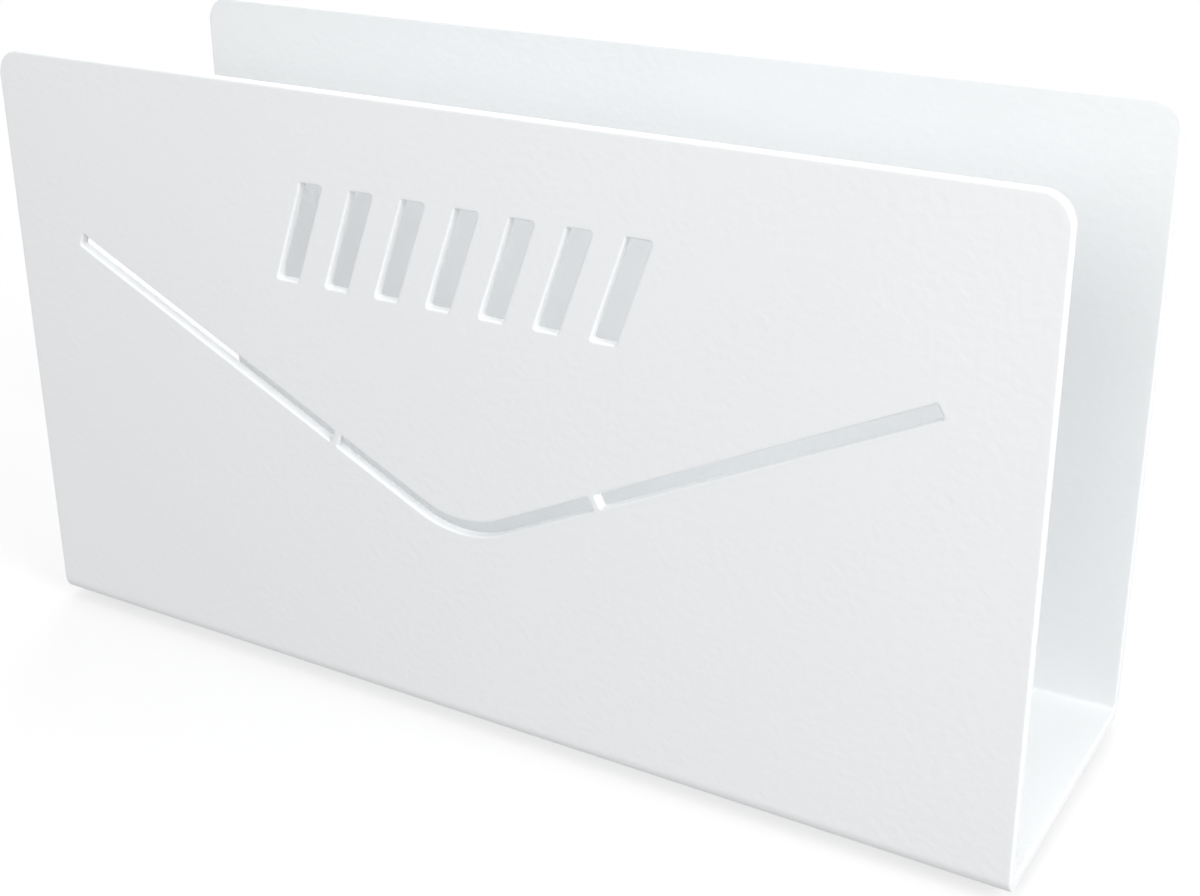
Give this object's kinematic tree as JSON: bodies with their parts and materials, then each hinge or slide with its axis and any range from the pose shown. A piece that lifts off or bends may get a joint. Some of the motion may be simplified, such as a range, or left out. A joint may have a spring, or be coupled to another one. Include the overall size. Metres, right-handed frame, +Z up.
{
  "type": "letter tray",
  "caption": "Upright letter tray folded from white sheet steel into an open-ended U, with an envelope-flap slot and slanting stripes cut through the front panel, on stick-on rubber feet.",
  "frame": {"origin": "on the table under the middle of the tray, at the middle of the bounding box's underside", "axes": "+X along the tray, +Z up, the front panel faces -Y"},
  "size_m": [0.24, 0.072, 0.1373],
  "materials": {
    "white_powder_coat": "fine matt powder coat",
    "black_rubber": "matt moulded",
    "adhesive_film": "satin film"
  },
  "bodies": {
    "root": {"folded_sheet": "white_powder_coat", "foot_front_left": "black_rubber", "foot_front_right": "black_rubber", "foot_rear_left": "black_rubber", "foot_rear_right": "black_rubber", "foot_tape_front_left": "adhesive_film", "foot_tape_front_right": "adhesive_film", "foot_tape_rear_left": "adhesive_film", "foot_tape_rear_right": "adhesive_film"}
  },
  "joints": []
}
